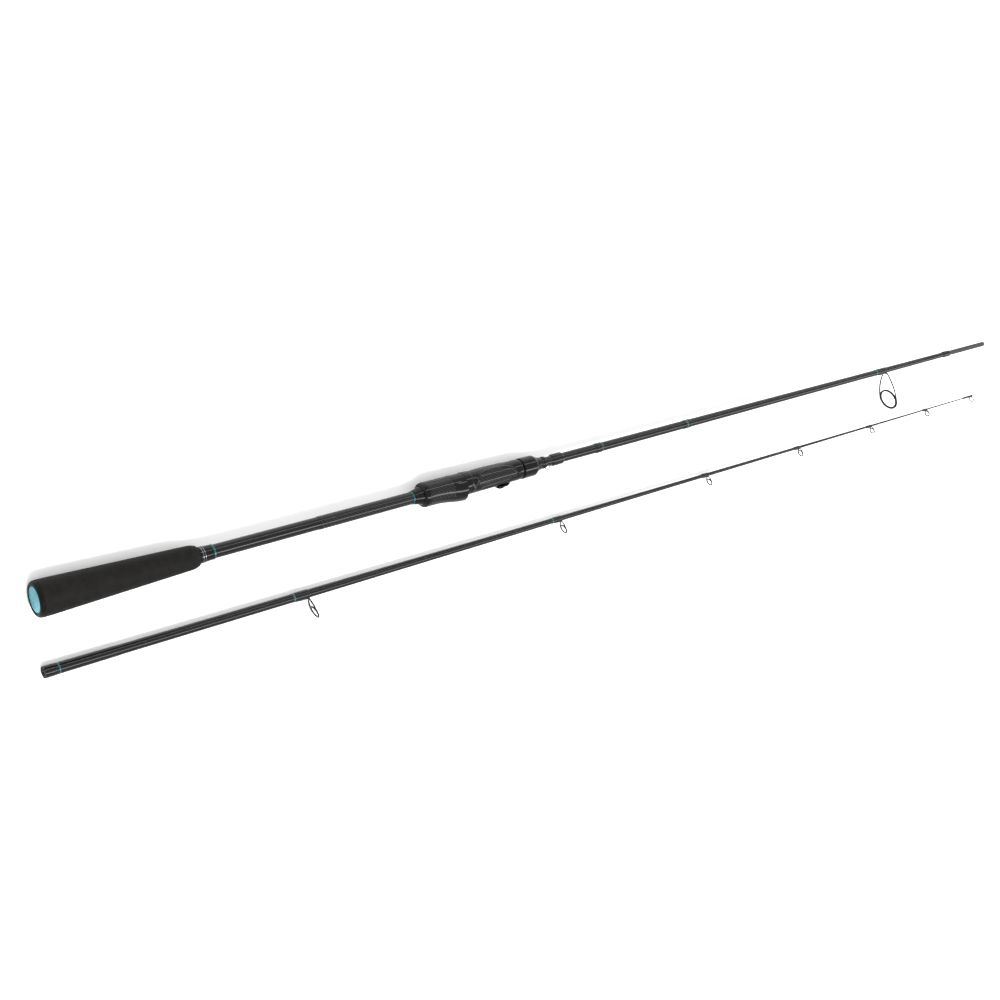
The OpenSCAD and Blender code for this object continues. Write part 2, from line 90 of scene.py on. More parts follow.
def axis_through(mount_name):
    """(y, z) of the rod axis that a mount lies on, in millimetres."""
    y, z = mount(mount_name)["pos_m"][1:]
    return (y / MM, z / MM)


BUTT_AXIS = axis_through("male_ferrule")
TIP_AXIS = axis_through("female_ferrule")
TIP_START = node_box("tip_blank")[0].x


def cad_profiles(node, axis):
    """The outer profile [(x, radius)] of each separate solid of a turned node."""
    mesh = bmesh.new()
    mesh.from_mesh(frame["nodes"][node].data)
    bmesh.ops.remove_doubles(mesh, verts=mesh.verts, dist=1e-7)
    mesh.normal_update()
    mesh.verts.ensure_lookup_table()
    seen = set()
    profiles = []
    for start in mesh.verts:
        if start.index in seen:
            continue
        island, queue = [], [start]
        seen.add(start.index)
        while queue:
            vert = queue.pop()
            island.append(vert)
            for edge in vert.link_edges:
                other = edge.other_vert(vert)
                if other.index not in seen:
                    seen.add(other.index)
                    queue.append(other)
        widest = {}
        for vert in island:
            x, y, z = vert.co / MM
            outwards = Vector((0, y - axis[0], z - axis[1]))
            radius = outwards.length
            if vert.normal.dot(outwards) < 0.05 * radius:
                continue
            key = round(x, 2)
            widest[key] = max(widest.get(key, 0), radius)
        profiles.append(sorted(widest.items()))
    mesh.free()
    return sorted(profiles)


def radius_at(profile, x):
    """A profile's radius at x, by straight lines."""
    for (x0, r0), (x1, r1) in zip(profile, profile[1:]):
        if x <= x1:
            return r0 + (r1 - r0) * (x - x0) / (x1 - x0)
    return profile[-1][1]


def along_profile(profile, x, column=1):
    """The values in one column of a profile, at many stations, by straight lines."""
    return np.interp(x, [p[0] for p in profile], [p[column] for p in profile])


BUTT_PROFILE = cad_profiles("butt_blank", BUTT_AXIS)[0]
TIP_PROFILE = cad_profiles("tip_blank", TIP_AXIS)[0]


# ---------------------------------------------------------------- materials


def new_material(name, colour, rough, metal=0.0, coat=0.0, coat_rough=0.03, specular=0.5):
    """A Principled material with its even values on the shader's own sockets."""
    mat = bpy.data.materials.new(name)
    mat.use_nodes = True
    shader = mat.node_tree.nodes["Principled BSDF"]
    shader.inputs["Base Color"].default_value = (*colour, 1)
    shader.inputs["Roughness"].default_value = rough
    shader.inputs["Metallic"].default_value = metal
    shader.inputs["Coat Weight"].default_value = coat
    shader.inputs["Coat Roughness"].default_value = coat_rough
    shader.inputs["Specular IOR Level"].default_value = specular
    return mat, shader


class Graph:
    """Short ways to add nodes to a material."""

    def __init__(self, mat):
        self.tree = mat.node_tree
        self.shader = self.tree.nodes["Principled BSDF"]

    def add(self, kind, **values):
        node = self.tree.nodes.new(kind)
        for key, value in values.items():
            setattr(node, key, value)
        return node

    def link(self, source, target):
        self.tree.links.new(source, target)

    def math(self, operation, a, b=0.0):
        node = self.add("ShaderNodeMath", operation=operation)
        for slot, value in zip(node.inputs, (a, b)):
            if isinstance(value, (int, float)):
                slot.default_value = value
            else:
                self.link(value, slot)
        return node.outputs[0]

    def place(self):
        """The object coordinate, in metres."""
        return self.add("ShaderNodeTexCoord").outputs["Object"]

    def scaled(self, scale):
        node = self.add("ShaderNodeMapping")
        self.link(self.place(), node.inputs["Vector"])
        node.inputs["Scale"].default_value = scale
        return node.outputs["Vector"]

    def noise(self, scale, detail=3.0, vector=None):
        node = self.add("ShaderNodeTexNoise")
        node.inputs["Scale"].default_value = scale
        node.inputs["Detail"].default_value = detail
        self.link(vector or self.place(), node.inputs["Vector"])
        return node.outputs["Fac"]

    def ramp(self, factor, stops):
        node = self.add("ShaderNodeValToRGB")
        node.color_ramp.elements.remove(node.color_ramp.elements[1])
        for i, (at, colour) in enumerate(stops):
            stop = node.color_ramp.elements[0] if i == 0 else node.color_ramp.elements.new(at)
            stop.position = at
            stop.color = (*colour, 1)
        self.link(factor, node.inputs["Fac"])
        return node.outputs["Color"]

    def span(self, factor, low, high):
        """factor, from 0 to 1, mapped to low to high."""
        node = self.add("ShaderNodeMapRange")
        node.inputs["To Min"].default_value = low
        node.inputs["To Max"].default_value = high
        self.link(factor, node.inputs["Value"])
        return node.outputs["Result"]

    def bump(self, height, distance, strength=1.0):
        node = self.add("ShaderNodeBump")
        node.inputs["Distance"].default_value = distance
        node.inputs["Strength"].default_value = strength
        self.link(height, node.inputs["Height"])
        self.link(node.outputs["Normal"], self.shader.inputs["Normal"])


def eva_material():
    """Closed-cell foam: fine pits, a soft grey bloom and slightly uneven colour."""
    mat, shader = new_material("eva_foam", (0.0035, 0.0034, 0.003), 0.62, specular=0.07)
    g = Graph(mat)
    pits = g.add("ShaderNodeTexVoronoi")
    pits.inputs["Scale"].default_value = 1400
    g.link(g.place(), pits.inputs["Vector"])
    bloom = [(0.3, (0.0045, 0.0043, 0.0037)), (0.7, (0.0075, 0.0072, 0.0062))]
    g.link(g.ramp(g.noise(160, 4), bloom), shader.inputs["Base Color"])
    g.link(g.span(g.noise(700, 3), 0.5, 0.74), shader.inputs["Roughness"])
    g.bump(g.math("ADD", pits.outputs["Distance"], g.noise(2600, 2)), 0.00012, 0.55)
    return mat


def rubber_material():
    mat, shader = new_material("cap_rubber", (0.003, 0.003, 0.003), 0.45, specular=0.07)
    g = Graph(mat)
    g.link(g.span(g.noise(500, 3), 0.36, 0.55), shader.inputs["Roughness"])
    g.bump(g.noise(1800, 2), 0.00006, 0.5)
    return mat


def anodised_material(name, dark, light):
    """Turned and anodised aluminium, with fine lathe lines round the axis."""
    mat, shader = new_material(name, dark, 0.3, metal=1.0)
    g = Graph(mat)
    split = g.add("ShaderNodeSeparateXYZ")
    g.link(g.place(), split.inputs[0])
    y = g.math("SUBTRACT", split.outputs["Y"], BUTT_AXIS[0] * MM)
    z = g.math("SUBTRACT", split.outputs["Z"], BUTT_AXIS[1] * MM)
    from_axis = g.math("SQRT", g.math("ADD", g.math("MULTIPLY", y, y), g.math("MULTIPLY", z, z)))
    along = g.math("ADD", from_axis, split.outputs["X"])
    lines = g.math("SINE", g.math("MULTIPLY", along, 2 * math.pi / LATHE_PITCH))
    g.link(g.ramp(g.noise(90, 2), [(0.35, dark), (0.65, light)]), shader.inputs["Base Color"])
    g.link(g.span(g.noise(900, 2), 0.22, 0.36), shader.inputs["Roughness"])
    g.bump(lines, 0.00001, 0.6)
    return mat


def gloss_black_material():
    """Moulded and lacquered plastic: a faint flow in the lacquer and a few soft scuffs."""
    mat, shader = new_material("gloss_black", (0.0015, 0.0015, 0.0016), 0.3, coat=0.32, specular=0.02)
    g = Graph(mat)
    g.link(g.span(g.noise(260, 4), 0.22, 0.38), shader.inputs["Roughness"])
    g.bump(g.noise(45, 2), 0.00006, 0.25)
    return mat


def silver_material():
    mat, shader = new_material("silver_trim", (0.16, 0.165, 0.17), 0.16, metal=1.0)
    g = Graph(mat)
    g.link(g.span(g.noise(600, 3), 0.1, 0.24), shader.inputs["Roughness"])
    return mat


def blank_material():
    """Wrapped carbon fibre under clear coat: faint tape turns and long fibres."""
    mat, shader = new_material("blank_graphite", (0.006, 0.006, 0.0063), 0.32, coat=0.42, specular=0.03)
    g = Graph(mat)
    fibres = g.noise(1.0, 4, g.scaled((60, 2600, 2600)))
    greys = [(0.35, (0.001, 0.001, 0.0011)), (0.7, (0.0025, 0.0025, 0.0026))]
    g.link(g.ramp(fibres, greys), shader.inputs["Base Color"])
    g.link(g.span(fibres, 0.26, 0.42), shader.inputs["Roughness"])
    turns = g.add("ShaderNodeTexWave", wave_type="BANDS", bands_direction="X")
    turns.inputs["Scale"].default_value = 95
    turns.inputs["Distortion"].default_value = 0.6
    g.link(g.place(), turns.inputs["Vector"])
    g.bump(turns.outputs["Fac"], 0.00002, 0.35)
    return mat


def weave_material(name, pitch_mm, turn_deg, light, dark):
    """Woven carbon under lacquer. The weave runs on the UV map, which is in millimetres."""
    mat, shader = new_material(name, dark, 0.3, coat=0.28, coat_rough=0.04, specular=0.05)
    g = Graph(mat)
    uv = g.add("ShaderNodeUVMap", uv_map="round_mm")
    turn = g.add("ShaderNodeMapping")
    turn.inputs["Rotation"].default_value = (0, 0, math.radians(turn_deg))
    turn.inputs["Scale"].default_value = (1 / pitch_mm, 1 / pitch_mm, 1)
    g.link(uv.outputs["UV"], turn.inputs["Vector"])
    split = g.add("ShaderNodeSeparateXYZ")
    g.link(turn.outputs["Vector"], split.inputs[0])
    u, v = split.outputs["X"], split.outputs["Y"]
    # Each tow passes over two and under two, one step on in each row
    step = g.math("ADD", g.math("FLOOR", u), g.math("FLOOR", v))
    over = g.math("LESS_THAN", g.math("FLOORED_MODULO", step, 4.0), 2.0)
    ridge_u = g.math("SINE", g.math("MULTIPLY", g.math("FRACT", v), math.pi))
    ridge_v = g.math("SINE", g.math("MULTIPLY", g.math("FRACT", u), math.pi))
    mix = g.add("ShaderNodeMix")
    g.link(over, mix.inputs["Factor"])
    g.link(ridge_v, mix.inputs["A"])
    g.link(ridge_u, mix.inputs["B"])
    height = mix.outputs["Result"]
    # Tows alternate in tone as the weave's pattern. The ridge term paints each tow darker at its edges and
    # lighter along its crest: painted shade between tows and a painted highlight on each tow
    weave_tone_and_tow_shade = g.math("ADD", g.math("MULTIPLY", over, 0.55), g.math("MULTIPLY", height, 0.35))
    g.link(g.ramp(weave_tone_and_tow_shade, [(0.05, dark), (0.95, light)]), shader.inputs["Base Color"])
    g.link(g.span(over, 0.24, 0.42), shader.inputs["Roughness"])
    g.bump(height, 0.00008, 0.6)
    return mat


def ground_material():
    """Ground carbon: matt grey, with fine grinding marks round it."""
    mat, shader = new_material("ground_ferrule", (0.04, 0.039, 0.036), 0.62, specular=0.1)
    g = Graph(mat)
    marks = g.noise(1.0, 3, g.scaled((5200, 500, 500)))
    greys = [(0.35, (0.03, 0.029, 0.026)), (0.7, (0.052, 0.05, 0.046))]
    g.link(g.ramp(marks, greys), shader.inputs["Base Color"])
    g.link(g.span(marks, 0.5, 0.72), shader.inputs["Roughness"])
    g.bump(marks, 0.00002, 0.6)
    return mat


def thread_material(name, colour, light, metal=0.0):
    """Rod-building thread wound round the blank, under a clear epoxy coat."""
    mat, shader = new_material(name, colour, 0.42, metal=metal, coat=0.42, coat_rough=0.02, specular=0.03)
    g = Graph(mat)
    split = g.add("ShaderNodeSeparateXYZ")
    g.link(g.place(), split.inputs[0])
    turns = g.math("SINE", g.math("MULTIPLY", split.outputs["X"], 2 * math.pi / THREAD_PITCH))
    # The turns term paints each turn of thread lighter along its crest, up to the light colour, and darker in
    # the groove between turns: painted shade and a painted highlight. The noise adds random tone
    turn_shade_and_tone = g.math("ADD", g.math("MULTIPLY", turns, 0.3), g.noise(600, 2))
    g.link(g.ramp(turn_shade_and_tone, [(0.2, colour), (0.85, light)]), shader.inputs["Base Color"])
    g.bump(turns, 0.00003, 0.5)
    return mat


def frame_material():
    """Dark plated steel wire, a little brighter where it is rubbed."""
    mat, shader = new_material("guide_frame", (0.035, 0.035, 0.037), 0.3, metal=1.0)
    g = Graph(mat)
    wear = g.noise(420, 4)
    greys = [(0.4, (0.012, 0.012, 0.013)), (0.72, (0.03, 0.03, 0.032))]
    g.link(g.ramp(wear, greys), shader.inputs["Base Color"])
    g.link(g.span(wear, 0.24, 0.4), shader.inputs["Roughness"])
    return mat


def ceramic_material():
    mat, shader = new_material("guide_ceramic", (0.003, 0.003, 0.0033), 0.16, specular=0.15)
    g = Graph(mat)
    g.link(g.span(g.noise(500, 2), 0.1, 0.22), shader.inputs["Roughness"])
    return mat


def arbor_material():
    """Plain light fibre, seen only when the seat is taken off."""
    mat, _ = new_material("arbor_fibre", (0.3, 0.29, 0.27), 0.8)
    g = Graph(mat)
    g.bump(g.noise(1500, 3), 0.0001, 0.6)
    return mat


def floor_material():
    mat, shader = new_material("floor_paper", (0.9, 0.9, 0.9), 0.75, specular=0.2)
    g = Graph(mat)
    whites = [(0.3, (0.895, 0.895, 0.895)), (0.7, (0.91, 0.91, 0.91))]
    g.link(g.ramp(g.noise(3, 2), whites), shader.inputs["Base Color"])
    return mat


BLACK = (0.001, 0.001, 0.0011)
TURQUOISE = (0.015, 0.05, 0.054)
MATERIALS = {
    "eva_foam": eva_material(),
    "cap_rubber": rubber_material(),
    "turquoise_anodised": anodised_material("turquoise_anodised", (0.035, 0.23, 0.275), (0.065, 0.31, 0.36)),
    "turquoise_trim": anodised_material("turquoise_trim", (0.02, 0.065, 0.07), (0.034, 0.1, 0.106)),
    "gloss_black": gloss_black_material(),
    "silver_trim": silver_material(),
    "blank_graphite": blank_material(),
    "woven_carbon": weave_material("woven_carbon", 0.95, 0, (0.013, 0.013, 0.0127), (0.001, 0.001, 0.001)),
    "ground_ferrule": ground_material(),
    "thread_black": thread_material("thread_black", BLACK, (0.003, 0.003, 0.0032)),
    "thread_turquoise": thread_material("thread_turquoise", TURQUOISE, (0.035, 0.1, 0.107), metal=0.6),
    "guide_frame": frame_material(),
    "guide_ceramic": ceramic_material(),
    "arbor_fibre": arbor_material(),
}
for entry in frame["record"]["subparts"]:
    cad_mesh = frame["nodes"][entry["node"]].data
    cad_mesh.materials.clear()
    cad_mesh.materials.append(MATERIALS[entry["material_slot"]])


# ---------------------------------------------------------------- mesh helpers


def add_piece(name, mesh, body, slot, replaces=(), smooth=True):
    """Links a mesh as a piece that rides on a body and stands for some CAD nodes."""
    obj = bpy.data.objects.new(name, mesh)
    bpy.context.scene.collection.objects.link(obj)
    mesh.materials.append(MATERIALS[slot])
    if smooth:
        mesh.polygons.foreach_set("use_smooth", [True] * len(mesh.polygons))
    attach(obj, body)
    if replaces:
        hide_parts(*replaces)
    return obj


def finished(mesh, name):
    """A bmesh as mesh data, with its faces turned outwards."""
    bmesh.ops.recalc_face_normals(mesh, faces=mesh.faces)
    data = bpy.data.meshes.new(name)
    mesh.to_mesh(data)
    mesh.free()
    return data


def rounded(profile, radius, steps=4):
    """A profile with each corner cut by a short curve, at most a third of the sides that meet."""
    points = [Vector(p) for p in profile]
    out = [tuple(points[0])]
    for before, corner, after in zip(points, points[1:], points[2:]):
        back, ahead = before - corner, after - corner
        cut = min(radius, back.length / 3, ahead.length / 3)
        if cut < 1e-4 or abs(back.normalized().cross(ahead.normalized())) < 0.02:
            out.append(tuple(corner))
            continue
        a = corner + back.normalized() * cut
        b = corner + ahead.normalized() * cut
        for i in range(steps + 1):
            t = i / steps
            out.append(tuple(a * (1 - t) ** 2 + corner * 2 * t * (1 - t) + b * t * t))
    out.append(tuple(points[-1]))
    return out


def turned_mesh(name, profile, axis, sides=64, closed=False):
    """A profile [(x, r)] turned round a line along X. Its UV map is in millimetres, along and round."""
    mesh = bmesh.new()
    uv = mesh.loops.layers.uv.new("round_mm")
    rings = []
    for x, r in profile:
        if r < 1e-6:
            rings.append([mesh.verts.new((x * MM, axis[0] * MM, axis[1] * MM))] * sides)
            continue
        ring = []
        for k in range(sides):
            turn = 2 * math.pi * k / sides
            y, z = axis[0] - r * math.cos(turn), axis[1] + r * math.sin(turn)
            ring.append(mesh.verts.new((x * MM, y * MM, z * MM)))
        rings.append(ring)
    count = len(rings)
    along = [0.0]
    for (x0, r0), (x1, r1) in zip(profile, profile[1:]):
        along.append(along[-1] + math.hypot(x1 - x0, r1 - r0))
    pairs = [(i, i + 1) for i in range(count - 1)] + ([(count - 1, 0)] if closed else [])
    around = 2 * math.pi * max(r for x, r in profile)
    for i, j in pairs:
        for k in range(sides):
            n = (k + 1) % sides
            corners = [(rings[i][k], i, k), (rings[j][k], j, k),
                       (rings[j][n], j, k + 1), (rings[i][n], i, k + 1)]
            kept = []
            for vert, ring, step in corners:
                if not kept or all(vert is not other[0] for other in kept):
                    kept.append((vert, ring, step))
            if len(kept) < 3:
                continue
            face = mesh.faces.new([vert for vert, ring, step in kept])
            for loop, (vert, ring, step) in zip(face.loops, kept):
                loop[uv].uv = (along[ring], around * step / sides)
    return finished(mesh, name)


def capped(profile, bore=0.0):
    """Brings both ends of an outer profile down to the bore, or to the axis."""
    return [(profile[0][0], bore), *profile, (profile[-1][0], bore)]


def turned_copy(node, body, slot, axis, soften=0.25, sides=64, bore=0.0):
    """A fine version of a turned CAD node, with softened corners: one piece for each of its solids."""
    for i, profile in enumerate(cad_profiles(node, axis)):
        name = f"{node}_fine" if i == 0 else f"{node}_fine_{i + 1}"
        mesh = turned_mesh(name, rounded(capped(profile, bore), soften), axis, sides, closed=bore > 0)
        add_piece(name, mesh, body, slot, (node,))


def wire_piece(name, points, radius, body, slot, replaces=()):
    """A round wire swept along points. Its radius is a function of the share passed, 0 to 1."""
    mesh = bmesh.new()
    sides = 16
    line = [Vector(p) for p in points]
    last = len(line) - 1
    rings = []
    normal = None
    for i, point in enumerate(line):
        tangent = (line[min(i + 1, last)] - line[max(i - 1, 0)]).normalized()
        if normal is None:
            normal = tangent.orthogonal().normalized()
        normal = (normal - tangent * normal.dot(tangent)).normalized()
        side = tangent.cross(normal)
        r = radius(i / last)
        ring = []
        for k in range(sides):
            turn = 2 * math.pi * k / sides
            offset = (normal * math.cos(turn) + side * math.sin(turn)) * r
            ring.append(mesh.verts.new((point + offset) * MM))
        rings.append(ring)
    for ring, after in zip(rings, rings[1:]):
        for k in range(sides):
            n = (k + 1) % sides
            mesh.faces.new((ring[k], ring[n], after[n], after[k]))
    mesh.faces.new(list(reversed(rings[0])))
    mesh.faces.new(rings[-1])
    return add_piece(name, finished(mesh, name), body, slot, replaces)


# ---------------------------------------------------------------- camera


def make_camera():
    """The view from behind and above the butt, rolled so that the rod climbs to the right."""
    butt_end = Vector((0, *BUTT_AXIS)) * MM
    right = Vector((0.7900, 0.0008, 0.6131))
    up = Vector((0.2225, 0.9314, -0.2880))
    back = right.cross(up).normalized()
    up = back.cross(right).normalized()
    right.normalize()
    place = butt_end + Vector((-0.4185, 0.5418, 1.1497))
    data = bpy.data.cameras.new("camera")
    data.sensor_width = 36
    data.lens = 57.43
    data.clip_start = 0.05
    camera = bpy.data.objects.new("camera", data)
    turn = Matrix((right, up, back)).transposed().to_4x4()
    camera.matrix_world = Matrix.Translation(place) @ turn
    bpy.context.scene.collection.objects.link(camera)
    bpy.context.scene.camera = camera


make_camera()


# ---------------------------------------------------------------- grip and trim


def build_grip():
    """The foam grip with its cap and rings, and the other turned parts up to the lock nut."""
    turned_copy("eva_grip", BUTT, "eva_foam", BUTT_AXIS, soften=1.6, sides=96)
    cap = [(0.9, 0), (0.9, 11.42), (0.4, 11.55), (0.1, 11.8), (0, 12.3), (0, 13.0), (0.15, 13.8), (0.6, 14.5),
           (1.3, 15.1), (2.1, 15.45), (2.88, 15.58), (2.88, 0)]
    mesh = turned_mesh("butt_cap_fine", cap, BUTT_AXIS, 128)
    add_piece("butt_cap_fine", mesh, BUTT, "cap_rubber", ("butt_cap",))
    disc = [(0.3, 0), (0.3, 7.9), (0.22, 8.05), (0.22, 8.25), (0.3, 8.4), (0.3, 10.5), (0.4, 10.95),
            (0.6, 11.2), (0.86, 11.25), (0.86, 0)]
    mesh = turned_mesh("butt_cap_disc_fine", disc, BUTT_AXIS, 128)
    add_piece("butt_cap_disc_fine", mesh, BUTT, "turquoise_anodised", ("butt_cap_disc",))
    turned_copy("grip_check", BUTT, "gloss_black", BUTT_AXIS, soften=0.15)
    turned_copy("grip_check_rings", BUTT, "silver_trim", BUTT_AXIS, soften=0.15)
    turned_copy("grip_accent_ring", BUTT, "turquoise_trim", BUTT_AXIS, soften=0.3)
    turned_copy("seat_accent_ring", BUTT, "turquoise_trim", BUTT_AXIS, soften=0.3)
    turned_copy("seat_rear_collar", BUTT, "gloss_black", BUTT_AXIS, soften=0.8)
    turned_copy("front_check", BUTT, "gloss_black", BUTT_AXIS, soften=0.6)
    turned_copy("lock_nut", "nut", "gloss_black", BUTT_AXIS, soften=0.5, sides=96)


def build_blanks():
    """The two blanks, with the ground ferrule, its plug and the woven sleeve."""
    ferrule = mount("male_ferrule")
    middle = ferrule["pos_m"][0] / MM
    ferrule_start = middle - ferrule["dims"]["length_mm"] / 2
    ferrule_radius = ferrule["dims"]["r_mm"]
    shaft = [p for p in BUTT_PROFILE if p[0] < ferrule_start - 0.5] + [(ferrule_start, ferrule_radius + 0.02)]
    mesh = turned_mesh("butt_blank_fine", capped(shaft), BUTT_AXIS, 48)
    add_piece("butt_blank_fine", mesh, BUTT, "blank_graphite", ("butt_blank",))
    ground = [(ferrule_start, ferrule_radius)] + [p for p in BUTT_PROFILE if p[0] > ferrule_start + 0.5]
    mesh = turned_mesh("male_ferrule_ground", rounded(capped(ground), 0.2), BUTT_AXIS, 48)
    add_piece("male_ferrule_ground", mesh, BUTT, "ground_ferrule")
    turned_copy("ferrule_plug", BUTT, "gloss_black", BUTT_AXIS, soften=0.2, sides=32)
    turned_copy("carbon_weave_sleeve", BUTT, "woven_carbon", BUTT_AXIS, soften=0.2)
    socket = mount("female_ferrule")["dims"]
    bottom, radius, bevel = TIP_START + socket["length_mm"], socket["r_mm"], 0.5
    mouth = [(bottom, 0.0), (bottom, radius), (TIP_START + bevel, radius), (TIP_START, radius + bevel)]
    outline = mouth + TIP_PROFILE + [(TIP_PROFILE[-1][0], 0.0)]
    mesh = turned_mesh("tip_blank_fine", outline, TIP_AXIS, 40)
    add_piece("tip_blank_fine", mesh, TIP, "blank_graphite", ("tip_blank",))


SOCKET_WRAP_BORE = 3.6  # keeps the thread at the socket's mouth from closing it


def build_wraps():
    """Thread wraps away from the guides, and the tip-top's tube."""
    for node in ("keeper_wrap", "mid_wrap", "label_wrap", "male_ferrule_wrap"):
        turned_copy(node, BUTT, "thread_black", BUTT_AXIS, soften=0.9)
    for node in ("mid_wrap_accent", "label_wrap_accent"):
        turned_copy(node, BUTT, "thread_turquoise", BUTT_AXIS, soften=0.4)
    turned_copy("female_ferrule_wrap", TIP, "thread_black", TIP_AXIS, soften=0.9,
                bore=SOCKET_WRAP_BORE)
    turned_copy("female_ferrule_accent", TIP, "thread_turquoise", TIP_AXIS, soften=0.25)
    turned_copy("tip_top_wrap", TIP, "thread_black", TIP_AXIS, soften=0.4, sides=32)
    turned_copy("tip_top_tube", TIP, "guide_frame", TIP_AXIS, soften=0.3, sides=32)


# ---------------------------------------------------------------- reel seat

SEAT = node_box("reel_seat_body")[0].x
LIP = 48.6          # stations along the seat, from its rear end
BED_END = 119.0
STEM_END = 137.9
BED_HEIGHT = 9.4
SEAT_BORE = 5.9
STEM_RADIUS = 8.2
PANEL_SINK = 0.35   # how far the panels' recess goes down
FLARE_RADIUS = 13.2  # the lip's circle
FLARE_OFFSET = 2.5   # how far its centre lies from the rod's axis, towards the guides
# The reel foot's pocket under the fixed hood, in two steps: how far their top and bottom faces lie beyond
# the bed's height, and their half widths
FOOT_POCKETS = [(0.0, 2.2, 6.5), (1.0, 4.4, 4.6)]
POCKET_LENGTH = 9.0
# The channel that the sliding hood's runner moves in
SLOT_START = 83.4
SLOT_DEPTHS = (15.0, 6.2)
SLOT_HALF_WIDTH = 2.8
MEAN_RADIUS = 11.0  # turns an angle round the seat into a distance


def smooth(low, high, value):
    """0 below low, 1 above high and an even curve between them."""
    t = np.clip((value - low) / (high - low), 0, 1)
    return t * t * (3 - 2 * t)


def smaller(a, b, blend):
    """The smaller of two values, with a rounded meeting."""
    mix = np.clip(0.5 + 0.5 * (b - a) / blend, 0, 1)
    return b * (1 - mix) + a * mix - blend * mix * (1 - mix)


def runs(*spans):
    """Stations in several runs, each of them a start, an end and a count."""
    return np.concatenate([np.linspace(*span) for span in spans])


def curve(points, x):
    """A smooth line through (x, value) points."""
    xs, ys = np.array(points, float).T
    slopes = np.gradient(ys, xs)
    i = np.clip(np.searchsorted(xs, x) - 1, 0, len(xs) - 2)
    width = xs[i + 1] - xs[i]
    t = np.clip((x - xs[i]) / width, 0, 1)
    ends = ys[i] + (ys[i + 1] - ys[i]) * t * t * (3 - 2 * t)
    return ends + width * t * (1 - t) * (slopes[i] * (1 - t) - slopes[i + 1] * t)


def folded_degrees(turn):
    """Degrees from the guide side, counted the same way down both sides."""
    return np.degrees(np.abs((turn + math.pi) % (2 * math.pi) - math.pi))


def flare_radius(turn):
    """Distance from the rod's axis to the lip's off-centre circle."""
    return FLARE_OFFSET * np.cos(turn) + np.sqrt(FLARE_RADIUS ** 2 - (FLARE_OFFSET * np.sin(turn)) ** 2)


EYE_EDGE = [(61.8, 101), (63.5, 121), (66.4, 135), (72, 145.5), (80, 151), (87, 152.5), (95.5, 148),
            (100, 141.5), (103.5, 133), (106, 121), (107.5, 100)]


def eye_top(x):
    """The upper edge of the eye-shaped panel, in degrees from the guide side."""
    return curve(EYE_EDGE, np.asarray(x, float))


def hood_swell(x):
    """How far the fixed hood has opened out towards its lip, from 0 to 1."""
    return smooth(6, LIP - 1.5, x) ** 1.7


def distance_to_line(x, across, points):
    """Distance in millimetres from each place on the seat to a line of (station, degrees) points."""
    best = np.full(x.shape, 1e9)
    flat = [(p[0], math.radians(p[1]) * MEAN_RADIUS) for p in points]
    for (x0, a0), (x1, a1) in zip(flat, flat[1:]):
        dx, da = x1 - x0, a1 - a0
        t = np.clip(((x - x0) * dx + (across - a0) * da) / (dx * dx + da * da), 0, 1)
        best = np.minimum(best, np.hypot(x - x0 - t * dx, across - a0 - t * da))
    return best


def rounded_frame(x0, x1, low, high, corner):
    """A closed line round a panel: stations x0 to x1, angles low to high."""
    bend = math.degrees(corner / MEAN_RADIUS)
    points = []
    for cx, ca, start in ((x1 - corner, high - bend, 0), (x0 + corner, high - bend, 90),
                          (x0 + corner, low + bend, 180), (x1 - corner, low + bend, 270)):
        for k in range(7):
            turn = math.radians(start + 15 * k)
            points.append((cx + corner * math.cos(turn), ca + bend * math.sin(turn)))
    return points + points[:1]


REAR_PANEL = (5.6, 34.2, 66.0, 170.0)
EYE_PANEL = (61.8, 107.5, 91.5)
EYE_RIDGE = [(54.4, 60), (57, 80), (60, 105), (62.6, 128), (66, 142)]
EYE_RIDGE += [(x, float(eye_top(x)) + 6) for x in (70, 74, 78, 82, 86, 90, 94, 98, 101, 104, 106)]
EYE_RIDGE += [(109, 99)]
EYE_BEAD = [(61.7, 90), (80, 89), (95, 88), (106.9, 87.4)]
BODY_RADII = [(0, 9.3), (0.5, 10.4), (1.3, 11.3), (2.4, 11.85), (4, 12.0), (34, 11.78), (41, 11.5),
              (48.6, 11.35), (54, 11.2), (68, 11.0), (84, 10.7), (94, 10.4), (106, 10.3), (114, 10.3),
              (117, 10.1), (118.2, 9.7), (119, 9.1)]


